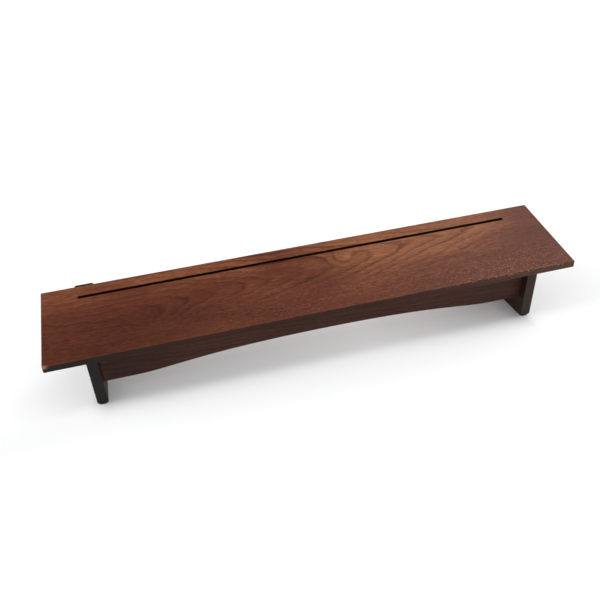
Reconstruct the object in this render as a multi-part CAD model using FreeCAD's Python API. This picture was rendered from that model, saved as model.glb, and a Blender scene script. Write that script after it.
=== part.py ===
import FreeCAD, Part
import math
import os

# Photo album stand: a thin grooved top carried on two side legs, an arched front apron and a
# rear rail, leaning down towards the front. All sizes are in millimetres.
#
# Every wooden piece is drawn square to the top board, in the board frame: X runs along the
# board from its middle, Y runs back from its front edge, Z is 0 on the top face and negative
# below it. stand_up() then leans a piece by TOP_TILT_DEG and sets it over the floor plane.
# The finished stand has +Z up, its front towards -Y and its origin on the floor, in the
# middle of its footprint.

# ---- top board -----------------------------------------------------------------------------
TOP_LENGTH = 600.0
TOP_DEPTH = 124.0
TOP_THICKNESS = 8.0
TOP_CORNER_RADIUS = 1.2
TOP_ARRIS_RADIUS = 0.6
TOP_TILT_DEG = 11.0
FRONT_EDGE_HEIGHT = 73.0        # floor to the front edge of the top face

# ---- display groove in the top board -------------------------------------------------------
GROOVE_WIDTH = 4.8              # a 3/16 inch router bit
GROOVE_DEPTH = 5.0
GROOVE_REAR_SETBACK = 20.3      # rear edge of the board to the groove's centre line
GROOVE_END_INSET = 40.0         # end of the board to the groove's rounded end

# ---- legs ----------------------------------------------------------------------------------
LEG_THICKNESS = 12.0
LEG_END_INSET = 42.5            # end of the board to the leg's outer face
LEG_FRONT_SETBACK = 5.0
LEG_REAR_SETBACK = 6.0
LEG_ARRIS_RADIUS = 0.8
LEG_FOOT_RADIUS = 3.0           # along the foot's outer edge

# ---- front apron ---------------------------------------------------------------------------
APRON_THICKNESS = 12.0
APRON_SETBACK = 11.0            # leg's front face to the apron's front face
APRON_END_HEIGHT = 44.0
APRON_ARRIS_RADIUS = 0.5
ARCH_RISE = 12.7
ARCH_TOE_FLAT = 35.0            # straight stretch of the bottom edge beside each leg
ARCH_TOE_EASE = 40.0
ARCH_CROWN_FULLNESS = 0.67      # share of the half arch over which the crown stays level

# ---- rear rail -----------------------------------------------------------------------------
RAIL_THICKNESS = 12.0
RAIL_HEIGHT = 25.0
RAIL_SETBACK = 4.0              # leg's rear face to the rail's rear face

# ---- cleats that hold the legs to the top --------------------------------------------------
CLEAT_SIZE = 14.0
CLEAT_END_GAP = 1.5             # from the cleat's ends to the apron and the rail
CLEAT_ARRIS_RADIUS = 0.8

# ---- triangular glue blocks behind the apron -----------------------------------------------
GLUE_BLOCK_SIZE = 14.0
GLUE_BLOCK_LENGTH = 40.0
GLUE_BLOCK_SPACING = 150.0

# ---- dowels --------------------------------------------------------------------------------
DOWEL_DIAMETER = 6.0
DOWEL_IN_LEG = 8.5
DOWEL_IN_RAIL = 15.0
DOWEL_CHAMFER = 0.6
DOWEL_HOLE_CLEARANCE = 0.05     # on the radius
DOWEL_END_CLEARANCE = 0.5
APRON_DOWEL_EDGE = 11.0         # apron's top and bottom edges to the dowels' axes
RAIL_DOWEL_EDGE = 7.0           # rail's top and bottom edges to the dowels' axes

# ---- wood screws ---------------------------------------------------------------------------
SCREW_DIAMETER = 3.5
SCREW_CORE_DIAMETER = 2.4
SCREW_PITCH = 1.6
SCREW_TIP_LENGTH = 2.4
SCREW_HEAD_DIAMETER = 6.8
SCREW_HEAD_HEIGHT = 2.0
SCREW_HEAD_RIM = 0.3
SCREW_CLEARANCE = 0.1           # on the radius, in every hole
SCREW_END_CLEARANCE = 0.4
TOP_SCREW_BITE = 4.0
LEG_SCREW_BITE = 8.0
TOP_SCREW_INSET = 10.0          # cleat's ends to the upright screws
LEG_SCREW_INSET = 24.0          # cleat's ends to the level screws
RECESS_ARM = 3.6
RECESS_WIDTH = 0.8
RECESS_DEPTH = 1.2

# ---- foot pads and the pad on the rear edge ------------------------------------------------
FOOT_PAD_THICKNESS = 1.5
FOOT_PAD_LENGTH = 24.0
FOOT_PAD_SIDE_MARGIN = 1.8      # leg's side faces to the pad
FOOT_PAD_END_MARGIN = 1.0       # leg's front and rear to the pad
PAD_CORNER_RADIUS = 2.0
EDGE_PAD_LENGTH = 21.0
EDGE_PAD_PROUD = 3.0
EDGE_PAD_TOP_MARGIN = 0.5       # the board's top and bottom faces to the pad

# ---- places that follow from the sizes -----------------------------------------------------
TILT = math.radians(TOP_TILT_DEG)
UNDERSIDE = -TOP_THICKNESS
LEG_OUTER_X = TOP_LENGTH / 2 - LEG_END_INSET
LEG_INNER_X = LEG_OUTER_X - LEG_THICKNESS
LEG_FRONT_Y = LEG_FRONT_SETBACK
LEG_REAR_Y = TOP_DEPTH - LEG_REAR_SETBACK
APRON_FRONT_Y = LEG_FRONT_Y + APRON_SETBACK
APRON_REAR_Y = APRON_FRONT_Y + APRON_THICKNESS
APRON_BOTTOM_Z = UNDERSIDE - APRON_END_HEIGHT
RAIL_REAR_Y = LEG_REAR_Y - RAIL_SETBACK
RAIL_FRONT_Y = RAIL_REAR_Y - RAIL_THICKNESS
RAIL_BOTTOM_Z = UNDERSIDE - RAIL_HEIGHT
CLEAT_FRONT_Y = APRON_REAR_Y + CLEAT_END_GAP
CLEAT_REAR_Y = RAIL_FRONT_Y - CLEAT_END_GAP
CLEAT_MIDDLE_X = LEG_INNER_X - CLEAT_SIZE / 2
CLEAT_MIDDLE_Z = UNDERSIDE - CLEAT_SIZE / 2
SIDES = {"left": -1, "right": 1}

X_AXIS = FreeCAD.Vector(1, 0, 0)
Y_AXIS = FreeCAD.Vector(0, 1, 0)
Z_AXIS = FreeCAD.Vector(0, 0, 1)


def point(x, y, z):
    return FreeCAD.Vector(x, y, z)


def block(x_range, y_range, z_range):
    """A square-cornered block between two values on each axis."""
    low = point(x_range[0], y_range[0], z_range[0])
    return Part.makeBox(
        x_range[1] - x_range[0], y_range[1] - y_range[0], z_range[1] - z_range[0], low
    )


def prism(corners, direction):
    """A flat polygon pushed along a direction."""
    return Part.Face(Part.makePolygon(corners + corners[:1])).extrude(direction)


def round_edges(shape, radius, chosen):
    """Rounds the edges for which chosen(edge) is true."""
    return shape.makeFillet(radius, [edge for edge in shape.Edges if chosen(edge)])


def runs_along(edge, axis):
    """True for a straight edge parallel to the axis."""
    return isinstance(edge.Curve, Part.Line) and abs(edge.Curve.Direction.dot(axis)) > 0.9999


def lies_at(edge, axis, value):
    """True if both ends of the edge have this coordinate along the axis."""
    return all(abs(vertex.Point.dot(axis) - value) < 1e-4 for vertex in edge.Vertexes)


def floor_z(board_y, height):
    """Board-frame Z of the plane that is parallel to the floor, at a height above it."""
    return (height - FRONT_EDGE_HEIGHT - board_y * math.sin(TILT)) / math.cos(TILT)


def stand_up(shape):
    """Leans a piece from the board frame and raises it over the floor."""
    leaned = shape.copy()
    leaned.rotate(point(0, 0, 0), X_AXIS, TOP_TILT_DEG)
    leaned.translate(point(0, 0, FRONT_EDGE_HEIGHT))
    return leaned


def dowel_places(rail_middle_y, top_z, bottom_z, edge_distance):
    """Centres of the joint faces' dowels, as (side, point) on the legs' inner faces."""
    heights = (top_z - edge_distance, bottom_z + edge_distance)
    return [
        (side, point(side * LEG_INNER_X, rail_middle_y, z))
        for side in SIDES.values()
        for z in heights
    ]


APRON_DOWELS = dowel_places(
    (APRON_FRONT_Y + APRON_REAR_Y) / 2, UNDERSIDE, APRON_BOTTOM_Z, APRON_DOWEL_EDGE
)
RAIL_DOWELS = dowel_places(
    (RAIL_FRONT_Y + RAIL_REAR_Y) / 2, UNDERSIDE, RAIL_BOTTOM_Z, RAIL_DOWEL_EDGE
)


def top_screw_places(side):
    """Points on a cleat's underside where the upright screws enter."""
    return [
        point(side * CLEAT_MIDDLE_X, y, UNDERSIDE - CLEAT_SIZE)
        for y in (CLEAT_FRONT_Y + TOP_SCREW_INSET, CLEAT_REAR_Y - TOP_SCREW_INSET)
    ]


def leg_screw_places(side):
    """Points on a cleat's inner face where the level screws enter."""
    return [
        point(side * (LEG_INNER_X - CLEAT_SIZE), y, CLEAT_MIDDLE_Z)
        for y in (CLEAT_FRONT_Y + LEG_SCREW_INSET, CLEAT_REAR_Y - LEG_SCREW_INSET)
    ]


def dowel_hole(side, centre):
    """The hole for one dowel, through the joint face into both pieces."""
    in_leg = DOWEL_IN_LEG + DOWEL_END_CLEARANCE
    in_rail = DOWEL_IN_RAIL + DOWEL_END_CLEARANCE
    start = centre - X_AXIS * side * in_rail
    radius = DOWEL_DIAMETER / 2 + DOWEL_HOLE_CLEARANCE
    return Part.makeCylinder(radius, in_leg + in_rail, start, X_AXIS * side)


def screw_hole(start, direction, bite):
    """The countersunk hole for one screw, from the cleat's face into the piece behind it."""
    head_radius = SCREW_HEAD_DIAMETER / 2 + SCREW_CLEARANCE
    shank_radius = SCREW_DIAMETER / 2 + SCREW_CLEARANCE
    depth = CLEAT_SIZE + bite + SCREW_END_CLEARANCE
    shank = Part.makeCylinder(shank_radius, depth, start, direction)
    rim = Part.makeCylinder(head_radius, SCREW_HEAD_RIM, start, direction)
    cone_start = start + direction * SCREW_HEAD_RIM
    cone_height = SCREW_HEAD_HEIGHT - SCREW_HEAD_RIM
    cone = Part.makeCone(head_radius, shank_radius, cone_height, cone_start, direction)
    return shank.fuse([rim, cone])


def screw_holes():
    """Every screw hole in the stand."""
    holes = []
    for side in SIDES.values():
        holes += [screw_hole(p, Z_AXIS, TOP_SCREW_BITE) for p in top_screw_places(side)]
        holes += [screw_hole(p, X_AXIS * side, LEG_SCREW_BITE) for p in leg_screw_places(side)]
    return holes


def groove():
    """The round-ended groove that runs along the rear of the top face."""
    radius = GROOVE_WIDTH / 2
    middle_y = TOP_DEPTH - GROOVE_REAR_SETBACK
    end_x = TOP_LENGTH / 2 - GROOVE_END_INSET - radius
    straight = block(
        (-end_x, end_x), (middle_y - radius, middle_y + radius), (-GROOVE_DEPTH, 1)
    )
    ends = [
        Part.makeCylinder(radius, GROOVE_DEPTH + 1, point(x, middle_y, -GROOVE_DEPTH))
        for x in (-end_x, end_x)
    ]
    return straight.fuse(ends).removeSplitter()


def make_top_board():
    half = TOP_LENGTH / 2
    board = block((-half, half), (0, TOP_DEPTH), (UNDERSIDE, 0))
    board = round_edges(board, TOP_CORNER_RADIUS, lambda e: runs_along(e, Z_AXIS))
    board = round_edges(board, TOP_ARRIS_RADIUS, lambda e: not runs_along(e, Z_AXIS))
    return board.cut([groove()] + screw_holes())


def make_leg(side):
    """A side panel, square to the top board, whose foot is cut parallel to the floor."""
    outline = [
        point(side * LEG_INNER_X, LEG_FRONT_Y, UNDERSIDE),
        point(side * LEG_INNER_X, LEG_REAR_Y, UNDERSIDE),
        point(side * LEG_INNER_X, LEG_REAR_Y, floor_z(LEG_REAR_Y, FOOT_PAD_THICKNESS)),
        point(side * LEG_INNER_X, LEG_FRONT_Y, floor_z(LEG_FRONT_Y, FOOT_PAD_THICKNESS)),
    ]
    leg = prism(outline, X_AXIS * side * LEG_THICKNESS)
    outer_x = side * LEG_OUTER_X
    leg = round_edges(
        leg,
        LEG_FOOT_RADIUS,
        lambda e: lies_at(e, X_AXIS, outer_x)
        and not runs_along(e, Z_AXIS)
        and not lies_at(e, Z_AXIS, UNDERSIDE),
    )
    leg = round_edges(
        leg,
        LEG_ARRIS_RADIUS,
        lambda e: lies_at(e, Y_AXIS, LEG_FRONT_Y) and not lies_at(e, Z_AXIS, UNDERSIDE)
        or lies_at(e, Y_AXIS, LEG_REAR_Y) and not lies_at(e, Z_AXIS, UNDERSIDE)
        or lies_at(e, X_AXIS, side * LEG_INNER_X)
        and not runs_along(e, Z_AXIS)
        and not lies_at(e, Z_AXIS, UNDERSIDE),
    )
    dowels = [dowel_hole(*place) for place in APRON_DOWELS + RAIL_DOWELS]
    return leg.cut(dowels + screw_holes())


def make_front_apron():
    """The front rail: level toes beside the legs, then one long arch between them."""
    half_arch = LEG_INNER_X - ARCH_TOE_FLAT
    crown_z = APRON_BOTTOM_Z + ARCH_RISE
    y = APRON_FRONT_Y

    def half_curve(side):
        curve = Part.BezierCurve()
        curve.setPoles([
            point(0, y, crown_z),
            point(side * half_arch * ARCH_CROWN_FULLNESS, y, crown_z),
            point(side * (half_arch - ARCH_TOE_EASE), y, APRON_BOTTOM_Z),
            point(side * half_arch, y, APRON_BOTTOM_Z),
        ])
        return curve.toShape()

    straight = Part.makePolygon([
        point(-half_arch, y, APRON_BOTTOM_Z),
        point(-LEG_INNER_X, y, APRON_BOTTOM_Z),
        point(-LEG_INNER_X, y, UNDERSIDE),
        point(LEG_INNER_X, y, UNDERSIDE),
        point(LEG_INNER_X, y, APRON_BOTTOM_Z),
        point(half_arch, y, APRON_BOTTOM_Z),
    ])
    outline = Part.Wire(Part.__sortEdges__(straight.Edges + [half_curve(-1), half_curve(1)]))
    apron = Part.Face(outline).extrude(Y_AXIS * APRON_THICKNESS)
    apron = round_edges(
        apron,
        APRON_ARRIS_RADIUS,
        lambda e: (lies_at(e, Y_AXIS, APRON_FRONT_Y) or lies_at(e, Y_AXIS, APRON_REAR_Y))
        and not runs_along(e, Z_AXIS)
        and e.CenterOfMass.z < crown_z + APRON_ARRIS_RADIUS,
    )
    return apron.cut([dowel_hole(*place) for place in APRON_DOWELS])


def make_rear_rail():
    rail = block(
        (-LEG_INNER_X, LEG_INNER_X), (RAIL_FRONT_Y, RAIL_REAR_Y), (RAIL_BOTTOM_Z, UNDERSIDE)
    )
    rail = round_edges(
        rail,
        APRON_ARRIS_RADIUS,
        lambda e: runs_along(e, X_AXIS) and lies_at(e, Z_AXIS, RAIL_BOTTOM_Z),
    )
    return rail.cut([dowel_hole(*place) for place in RAIL_DOWELS])


def make_cleat(side):
    """A square batten in the corner between a leg and the top board."""
    inner_x = side * (LEG_INNER_X - CLEAT_SIZE)
    x_range = sorted((inner_x, side * LEG_INNER_X))
    cleat = block(
        x_range, (CLEAT_FRONT_Y, CLEAT_REAR_Y), (UNDERSIDE - CLEAT_SIZE, UNDERSIDE)
    )
    cleat = round_edges(
        cleat,
        CLEAT_ARRIS_RADIUS,
        lambda e: runs_along(e, Y_AXIS)
        and lies_at(e, X_AXIS, inner_x)
        and lies_at(e, Z_AXIS, UNDERSIDE - CLEAT_SIZE),
    )
    return cleat.cut(screw_holes())


def make_glue_block(place):
    """A triangular block in the corner between the apron and the top board."""
    start_x = place * GLUE_BLOCK_SPACING - GLUE_BLOCK_LENGTH / 2
    corners = [
        point(start_x, APRON_REAR_Y, UNDERSIDE),
        point(start_x, APRON_REAR_Y + GLUE_BLOCK_SIZE, UNDERSIDE),
        point(start_x, APRON_REAR_Y, UNDERSIDE - GLUE_BLOCK_SIZE),
    ]
    return prism(corners, X_AXIS * GLUE_BLOCK_LENGTH)


def make_dowel(side, centre):
    """One dowel with chamfered ends, lying across a joint face."""
    length = DOWEL_IN_LEG + DOWEL_IN_RAIL
    start = centre - X_AXIS * side * DOWEL_IN_RAIL
    dowel = Part.makeCylinder(DOWEL_DIAMETER / 2, length, start, X_AXIS * side)
    rims = [e for e in dowel.Edges if isinstance(e.Curve, Part.Circle)]
    return dowel.makeChamfer(DOWEL_CHAMFER, rims)


def make_dowels(places):
    return Part.makeCompound([make_dowel(*place) for place in places])


def make_screw(start, direction, bite):
    """A countersunk wood screw: cross recess, plain shank under the head, ringed thread."""
    length = CLEAT_SIZE + bite
    shank_radius = SCREW_DIAMETER / 2
    core_radius = SCREW_CORE_DIAMETER / 2
    thread_end = length - SCREW_TIP_LENGTH
    turns = int((thread_end - CLEAT_SIZE / 2) / SCREW_PITCH)
    profile = [
        point(0, 0, 0),
        point(SCREW_HEAD_DIAMETER / 2, 0, 0),
        point(SCREW_HEAD_DIAMETER / 2, 0, SCREW_HEAD_RIM),
        point(shank_radius, 0, SCREW_HEAD_HEIGHT),
        point(shank_radius, 0, thread_end - turns * SCREW_PITCH),
    ]
    for turn in range(turns, 0, -1):
        ring_start = thread_end - turn * SCREW_PITCH
        profile.append(point(core_radius, 0, ring_start + SCREW_PITCH / 4))
        profile.append(point(core_radius, 0, ring_start + SCREW_PITCH * 3 / 4))
        profile.append(point(shank_radius, 0, ring_start + SCREW_PITCH))
    profile.append(point(0, 0, length))
    face = Part.Face(Part.makePolygon(profile + profile[:1]))
    screw = face.revolve(point(0, 0, 0), Z_AXIS, 360)
    half_arm = RECESS_ARM / 2
    half_width = RECESS_WIDTH / 2
    arms = [
        block((-half_arm, half_arm), (-half_width, half_width), (-1, RECESS_DEPTH)),
        block((-half_width, half_width), (-half_arm, half_arm), (-1, RECESS_DEPTH)),
    ]
    screw = Part.Solid(screw).cut(arms)
    turn_to_direction = FreeCAD.Rotation(Z_AXIS, direction)
    screw.Placement = FreeCAD.Placement(start, turn_to_direction)
    return screw


def make_top_screws():
    return Part.makeCompound([
        make_screw(place, Z_AXIS, TOP_SCREW_BITE)
        for side in SIDES.values()
        for place in top_screw_places(side)
    ])


def make_leg_screws():
    return Part.makeCompound([
        make_screw(place, X_AXIS * side, LEG_SCREW_BITE)
        for side in SIDES.values()
        for place in leg_screw_places(side)
    ])


def make_edge_pad():
    """The small dark pad on the board's rear edge, over the left leg."""
    middle_x = -(LEG_INNER_X + LEG_OUTER_X) / 2
    half = EDGE_PAD_LENGTH / 2
    pad = block(
        (middle_x - half, middle_x + half),
        (TOP_DEPTH, TOP_DEPTH + EDGE_PAD_PROUD),
        (UNDERSIDE + EDGE_PAD_TOP_MARGIN, -EDGE_PAD_TOP_MARGIN),
    )
    rear_y = TOP_DEPTH + EDGE_PAD_PROUD
    return round_edges(
        pad, PAD_CORNER_RADIUS, lambda e: runs_along(e, Z_AXIS) and lies_at(e, Y_AXIS, rear_y)
    )


def foot_line_y(board_y):
    """Floor-frame Y of the leg's foot below a place on the board."""
    foot_z = floor_z(board_y, FOOT_PAD_THICKNESS)
    return board_y * math.cos(TILT) - foot_z * math.sin(TILT)


def make_foot_pad(side, end):
    """A pad under one end of a leg's foot, already level on the floor."""
    if end == "front":
        y_start = foot_line_y(LEG_FRONT_Y) + FOOT_PAD_END_MARGIN
    else:
        y_start = foot_line_y(LEG_REAR_Y) - FOOT_PAD_END_MARGIN - FOOT_PAD_LENGTH
    x_range = sorted(
        (side * (LEG_INNER_X + FOOT_PAD_SIDE_MARGIN), side * (LEG_OUTER_X - FOOT_PAD_SIDE_MARGIN))
    )
    pad = block(x_range, (y_start, y_start + FOOT_PAD_LENGTH), (0, FOOT_PAD_THICKNESS))
    return round_edges(pad, PAD_CORNER_RADIUS, lambda e: runs_along(e, Z_AXIS))


def build_nodes():
    """Every node of the stand, by name, over the floor plane."""
    leaning = {
        "top_board": make_top_board(),
        "front_apron": make_front_apron(),
        "rear_rail": make_rear_rail(),
        "apron_dowels": make_dowels(APRON_DOWELS),
        "rail_dowels": make_dowels(RAIL_DOWELS),
        "cleat_top_screws": make_top_screws(),
        "cleat_leg_screws": make_leg_screws(),
        "rear_edge_pad": make_edge_pad(),
    }
    for name, side in SIDES.items():
        leaning[f"{name}_leg"] = make_leg(side)
        leaning[f"{name}_cleat"] = make_cleat(side)
    for name, place in {"left": -1, "centre": 0, "right": 1}.items():
        leaning[f"glue_block_{name}"] = make_glue_block(place)
    nodes = {name: stand_up(shape) for name, shape in leaning.items()}
    for name, side in SIDES.items():
        for end in ("front", "rear"):
            nodes[f"{end}_{name}_foot_pad"] = make_foot_pad(side, end)
    return nodes


def main():
    os.makedirs("parts", exist_ok=True)
    nodes = build_nodes()
    box = Part.makeCompound(list(nodes.values())).optimalBoundingBox(False)
    to_origin = point(0, -box.Center.y, 0)
    for name, shape in nodes.items():
        placed = shape.copy()
        placed.translate(to_origin)
        placed.exportStep(f"parts/{name}.step")
    print(f"{len(nodes)} nodes, {box.XLength:.2f} x {box.YLength:.2f} x {box.ZLength:.2f} mm")


main()
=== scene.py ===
"""Finishes, floor, light and camera for a low wooden display stand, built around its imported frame."""

import logging
import math
from dataclasses import dataclass, field, replace
from enum import Enum

import bpy
from mathutils import Matrix, Vector


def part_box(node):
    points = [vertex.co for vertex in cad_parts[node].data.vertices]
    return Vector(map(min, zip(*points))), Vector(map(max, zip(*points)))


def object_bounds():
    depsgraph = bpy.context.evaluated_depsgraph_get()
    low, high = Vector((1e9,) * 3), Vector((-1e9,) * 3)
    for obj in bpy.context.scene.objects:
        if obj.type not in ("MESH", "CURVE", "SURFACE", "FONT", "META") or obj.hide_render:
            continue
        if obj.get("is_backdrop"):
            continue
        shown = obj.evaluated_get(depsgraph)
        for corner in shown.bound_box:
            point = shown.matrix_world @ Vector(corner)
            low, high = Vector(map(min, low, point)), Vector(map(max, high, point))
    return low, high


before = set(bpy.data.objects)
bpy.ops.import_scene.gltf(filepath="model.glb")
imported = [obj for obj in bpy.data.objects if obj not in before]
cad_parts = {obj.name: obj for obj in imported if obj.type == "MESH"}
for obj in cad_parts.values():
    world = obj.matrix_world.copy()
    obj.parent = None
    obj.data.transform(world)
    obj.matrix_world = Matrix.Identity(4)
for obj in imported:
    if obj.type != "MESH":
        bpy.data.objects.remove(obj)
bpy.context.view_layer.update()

LOG = logging.getLogger("display_stand")
MM = 0.001
ORIGIN = (0.0, 0.0, 0.0)
RELIEF_STRENGTH = 0.8
END_ON = 0.5  # a face is end grain when it looks along the grain by more than this share

Colour = tuple[float, float, float]
Socket = bpy.types.NodeSocket
Feed = Socket | float | tuple[float, ...]


# ---------------------------------------------------------------- node trees


class PortKind(Enum):
    """The kinds of value that a shared effect takes or gives."""

    NUMBER = "NodeSocketFloat"
    VECTOR = "NodeSocketVector"


@dataclass(frozen=True)
class Port:
    """One named input or output of a shared effect."""

    name: str
    kind: PortKind = PortKind.NUMBER
    default: float | tuple[float, float, float] = 0.0


class Graph:
    """One node tree, with a short method for each kind of node that the finishes use."""

    def __init__(self, tree: bpy.types.NodeTree) -> None:
        """Empties the tree so that it can be wired from nothing.

        Args:
            tree: A material's, a world's or a group's node tree.
        """
        self.tree = tree
        self.tree.nodes.clear()

    def add(self, kind: str, **settings: object) -> bpy.types.Node:
        """Adds one node.

        Args:
            kind: Blender's type name, such as "ShaderNodeMath".
            **settings: Properties of the node.

        Returns:
            The new node.
        """
        node = self.tree.nodes.new(kind)
        for name, value in settings.items():
            setattr(node, name, value)
        return node

    def feed(self, socket: Socket, value: Feed) -> None:
        """Links an output to an input, or sets the input's own value.

        Args:
            socket: The input.
            value: An output socket, a number or a tuple of numbers.
        """
        if isinstance(value, bpy.types.NodeSocket):
            self.tree.links.new(value, socket)
        elif isinstance(value, tuple) and socket.type == "RGBA" and len(value) == 3:
            socket.default_value = (*value, 1.0)
        else:
            socket.default_value = value

    def math(self, operation: str, *values: Feed, clamp: bool = False) -> Socket:
        """Adds a Math node.

        Args:
            operation: Its operation, such as "ADD".
            *values: Its inputs in order.
            clamp: Whether the result is held between 0 and 1.

        Returns:
            The result.
        """
        node = self.add("ShaderNodeMath", operation=operation, use_clamp=clamp)
        for socket, value in zip(node.inputs, values):
            self.feed(socket, value)
        return node.outputs[0]

    def vector(self, operation: str, *values: Feed) -> Socket:
        """Adds a Vector Math node.

        Args:
            operation: Its operation, such as "MULTIPLY".
            *values: Its vectors in order.

        Returns:
            The resulting vector, or number where the operation gives one.
        """
        node = self.add("ShaderNodeVectorMath", operation=operation)
        for socket, value in zip(node.inputs, values):
            self.feed(socket, value)
        return node.outputs["Value" if operation in ("DOT_PRODUCT", "LENGTH") else "Vector"]

    def split(self, vector: Socket) -> tuple[Socket, Socket, Socket]:
        """Gives the three parts of a vector.

        Args:
            vector: The vector's socket.

        Returns:
            Its x, y and z.
        """
        node = self.add("ShaderNodeSeparateXYZ")
        self.feed(node.inputs[0], vector)
        return tuple(node.outputs)

    def join(self, x: Feed, y: Feed, z: Feed) -> Socket:
        """Makes one vector out of three numbers.

        Args:
            x: The first number.
            y: The second number.
            z: The third number.

        Returns:
            The vector.
        """
        node = self.add("ShaderNodeCombineXYZ")
        for socket, value in zip(node.inputs, (x, y, z)):
            self.feed(socket, value)
        return node.outputs[0]

    def stretch(self, place: Socket, along: Feed, across: Feed) -> Socket:
        """Scales a place so that one unit is a given length.

        Args:
            place: The place, in metres.
            along: The length along the grain.
            across: The length across the grain and through the thickness.

        Returns:
            The scaled place.
        """
        more_along = self.math("DIVIDE", 1.0, along)
        more_across = self.math("DIVIDE", 1.0, across)
        return self.vector("MULTIPLY", place, self.join(more_along, more_across, more_across))

    def noise(
        self, vector: Feed, detail: float = 2.0, roughness: float = 0.5, warp: float = 0.0
    ) -> Socket:
        """Adds a Noise Texture whose lumps are one unit of its vector across.

        Args:
            vector: The place, already scaled.
            detail: How many finer layers lie on the first.
            roughness: How strong those layers are.
            warp: How far the pattern is pulled about.

        Returns:
            The noise, mostly from 0.25 to 0.75.
        """
        node = self.add("ShaderNodeTexNoise")
        self.feed(node.inputs["Vector"], vector)
        settings = {"Scale": 1.0, "Detail": detail, "Roughness": roughness, "Distortion": warp}
        for name, value in settings.items():
            node.inputs[name].default_value = value
        return node.outputs[0]

    def between(self, value: Feed, low: Feed, high: Feed, start: Feed = 0.0, end: Feed = 1.0) -> Socket:
        """Maps a value smoothly from one range to another.

        Args:
            value: What is mapped.
            low: The value that gives start.
            high: The value that gives end.
            start: The result at and below low.
            end: The result at and above high.

        Returns:
            The mapped value.
        """
        node = self.add("ShaderNodeMapRange", interpolation_type="SMOOTHSTEP")
        for socket, given in zip(node.inputs, (value, low, high, start, end)):
            self.feed(socket, given)
        return node.outputs[0]

    def ramp(self, value: Feed, stops: dict[float, Colour | float]) -> Socket:
        """Adds a colour ramp.

        Args:
            value: Where on the ramp to read.
            stops: A colour, or a grey level, for each place on the ramp.

        Returns:
            The colour.
        """
        node = self.add("ShaderNodeValToRGB")
        self.feed(node.inputs[0], value)
        elements = node.color_ramp.elements
        for place in list(stops)[2:]:
            elements.new(place)
        for element, (place, shade) in zip(elements, sorted(stops.items())):
            element.position = place
            colour = shade if isinstance(shade, tuple) else (shade,) * 3
            element.color = (*colour, 1.0)
        return node.outputs[0]

    def bell(self, value: Feed) -> Socket:
        """Adds a bell curve.

        Args:
            value: The distance from its top, in units of its reach.

        Returns:
            1 at the top, fading to 0.
        """
        squared = self.math("MULTIPLY", value, value)
        return self.math("POWER", math.e, self.math("MULTIPLY", squared, -1.0))

    def blend(self, share: Feed, first: Feed, second: Feed, mode: str = "MIX") -> Socket:
        """Mixes two colours.

        Args:
            share: How much of the second colour shows.
            first: The colour beneath.
            second: The colour on top.
            mode: How they combine, such as "MIX" or "MULTIPLY".

        Returns:
            The mixed colour.
        """
        node = self.add("ShaderNodeMix", data_type="RGBA", blend_type=mode)
        colours = [s for s in node.inputs if s.type == "RGBA"]
        self.feed(node.inputs[0], share)
        self.feed(colours[0], first)
        self.feed(colours[1], second)
        return next(s for s in node.outputs if s.type == "RGBA")

    def product(self, first: Feed, *others: Feed) -> Socket:
        """Multiplies several values.

        Args:
            first: The first value.
            *others: The values that it is multiplied by.

        Returns:
            The product.
        """
        total = first
        for value in others:
            total = self.math("MULTIPLY", total, value)
        return total

    def sum(self, first: Feed, *others: tuple[Feed, float]) -> Socket:
        """Adds several values, each times its own weight, to a first one.

        Args:
            first: The value to start from.
            *others: Pairs of a value and its weight.

        Returns:
            The sum.
        """
        total = first
        for value, weight in others:
            total = self.math("MULTIPLY_ADD", value, weight, total)
        return total


class Effect:
    """A look that several finishes share: one node group, built once and placed with its own values."""

    label = ""
    takes: tuple[Port, ...] = ()
    gives: tuple[Port, ...] = ()
    built: dict[str, bpy.types.NodeTree] = {}

    @classmethod
    def wire(cls, graph: Graph, given: dict[str, Socket]) -> dict[str, Socket]:
        """Wires the inside of the group.

        Args:
            graph: The group's tree.
            given: The group's inputs by name.

        Returns:
            The group's outputs by name.
        """
        raise NotImplementedError

    @classmethod
    def group(cls) -> bpy.types.NodeTree:
        """Builds the node group the first time, and gives the same one after that.

        Returns:
            The node group.
        """
        if cls.label not in cls.built:
            tree = bpy.data.node_groups.new(cls.label, "ShaderNodeTree")
            graph = Graph(tree)
            for port, way in [(p, "INPUT") for p in cls.takes] + [(p, "OUTPUT") for p in cls.gives]:
                kind = port.kind.value
                socket = tree.interface.new_socket(name=port.name, in_out=way, socket_type=kind)
                if way == "INPUT":
                    socket.default_value = port.default
            inner = graph.add("NodeGroupInput")
            outer = graph.add("NodeGroupOutput")
            made = cls.wire(graph, {p.name: inner.outputs[p.name] for p in cls.takes})
            for name, socket in made.items():
                graph.feed(outer.inputs[name], socket)
            cls.built[cls.label] = tree
        return cls.built[cls.label]

    @classmethod
    def place(cls, graph: Graph, values: dict[str, Feed]) -> dict[str, Socket]:
        """Puts the effect into a material.

        Args:
            graph: The material's tree.
            values: The effect's inputs by name.

        Returns:
            The effect's outputs by name.
        """
        node = graph.add("ShaderNodeGroup", node_tree=cls.group(), label=cls.label)
        for name, value in values.items():
            graph.feed(node.inputs[name], value)
        return {p.name: node.outputs[p.name] for p in cls.gives}

    @classmethod
    def mask(cls, graph: Graph, place: Socket, **values: Feed) -> Socket:
        """Puts the effect into a material where only its first output is wanted.

        Args:
            graph: The material's tree.
            place: The place in the piece.
            **values: The effect's other inputs, by their names in lower case.

        Returns:
            The effect's first output.
        """
        named = {name.capitalize(): value for name, value in values.items()}
        return cls.place(graph, {"Place": place, **named})[cls.gives[0].name]


# ---------------------------------------------------------------- effects that finishes share


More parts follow.
